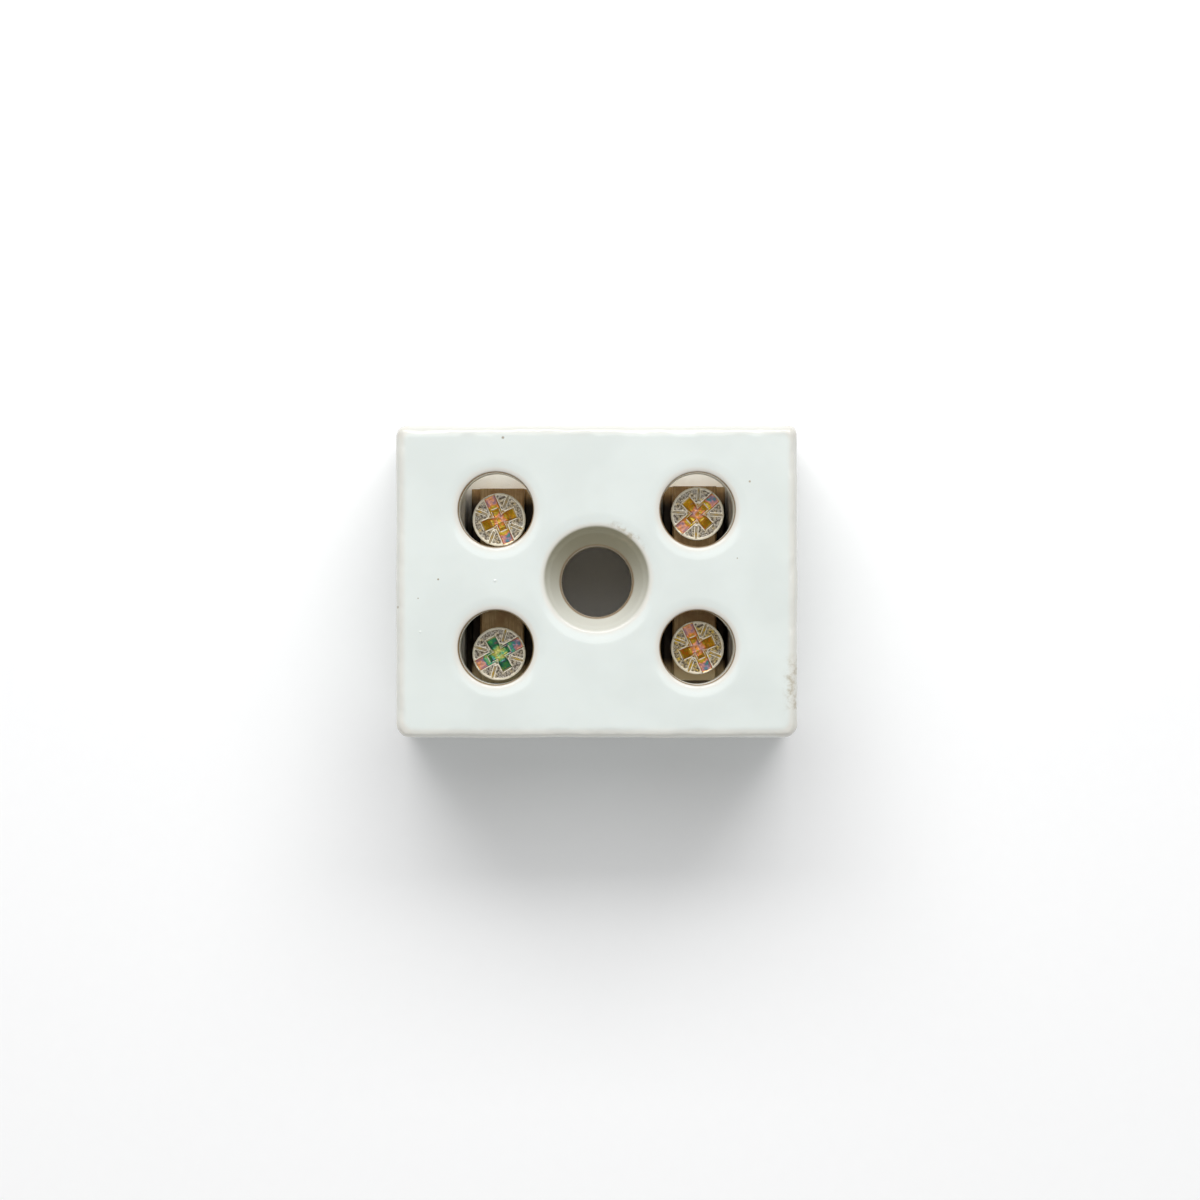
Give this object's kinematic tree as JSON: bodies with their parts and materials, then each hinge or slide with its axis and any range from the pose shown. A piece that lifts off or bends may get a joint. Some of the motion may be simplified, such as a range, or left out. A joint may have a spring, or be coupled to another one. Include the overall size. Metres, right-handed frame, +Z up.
{
  "type": "porcelain terminal block",
  "caption": "Porcelain terminal block: loose brass bars with clamp screws in round wells join wires end to end, and a countersunk hole fixes the block down.",
  "frame": {"origin": "middle of the underside", "axes": "+X along the long side, +Y to the rear along the wire channels, +Z up, out of the screw wells"},
  "size_m": [0.036, 0.028, 0.02],
  "materials": {
    "porcelain": "glazed, glossy",
    "brass": "drawn, dull brushed",
    "plated_steel": "zinc plated, yellow iridescent passivation"
  },
  "bodies": {
    "block": {"ceramic_body": "porcelain"},
    "bar_left": {"terminal_bar_left": "brass"},
    "bar_right": {"terminal_bar_right": "brass"},
    "screw_left_rear": {"clamp_screw_left_rear": "plated_steel"},
    "screw_left_front": {"clamp_screw_left_front": "plated_steel"},
    "screw_right_rear": {"clamp_screw_right_rear": "plated_steel"},
    "screw_right_front": {"clamp_screw_right_front": "plated_steel"}
  },
  "joints": [
    {"name": "bar_left_slide", "type": "slide", "parent": "block", "child": "bar_left", "axis": [0, 1, 0], "range_m": [-0.00007, 0.00135]},
    {"name": "screw_left_rear_turn", "type": "hinge", "parent": "bar_left", "child": "screw_left_rear", "pos_m": [-0.00885, 0.00562, 0.0126], "axis": [0, 0, 1], "range_deg": [-1224, 1152]},
    {"name": "screw_left_front_turn", "type": "hinge", "parent": "bar_left", "child": "screw_left_front", "pos_m": [-0.00885, -0.00653, 0.0126], "axis": [0, 0, 1], "range_deg": [-1224, 1152]},
    {"name": "bar_right_slide", "type": "slide", "parent": "block", "child": "bar_right", "axis": [0, 1, 0], "range_m": [-0.0006, 0.00085]},
    {"name": "screw_right_rear_turn", "type": "hinge", "parent": "bar_right", "child": "screw_right_rear", "pos_m": [0.00912, 0.00617, 0.0126], "axis": [0, 0, 1], "range_deg": [-1224, 1152]},
    {"name": "screw_right_front_turn", "type": "hinge", "parent": "bar_right", "child": "screw_right_front", "pos_m": [0.00912, -0.00598, 0.0126], "axis": [0, 0, 1], "range_deg": [-1224, 1152]}
  ]
}
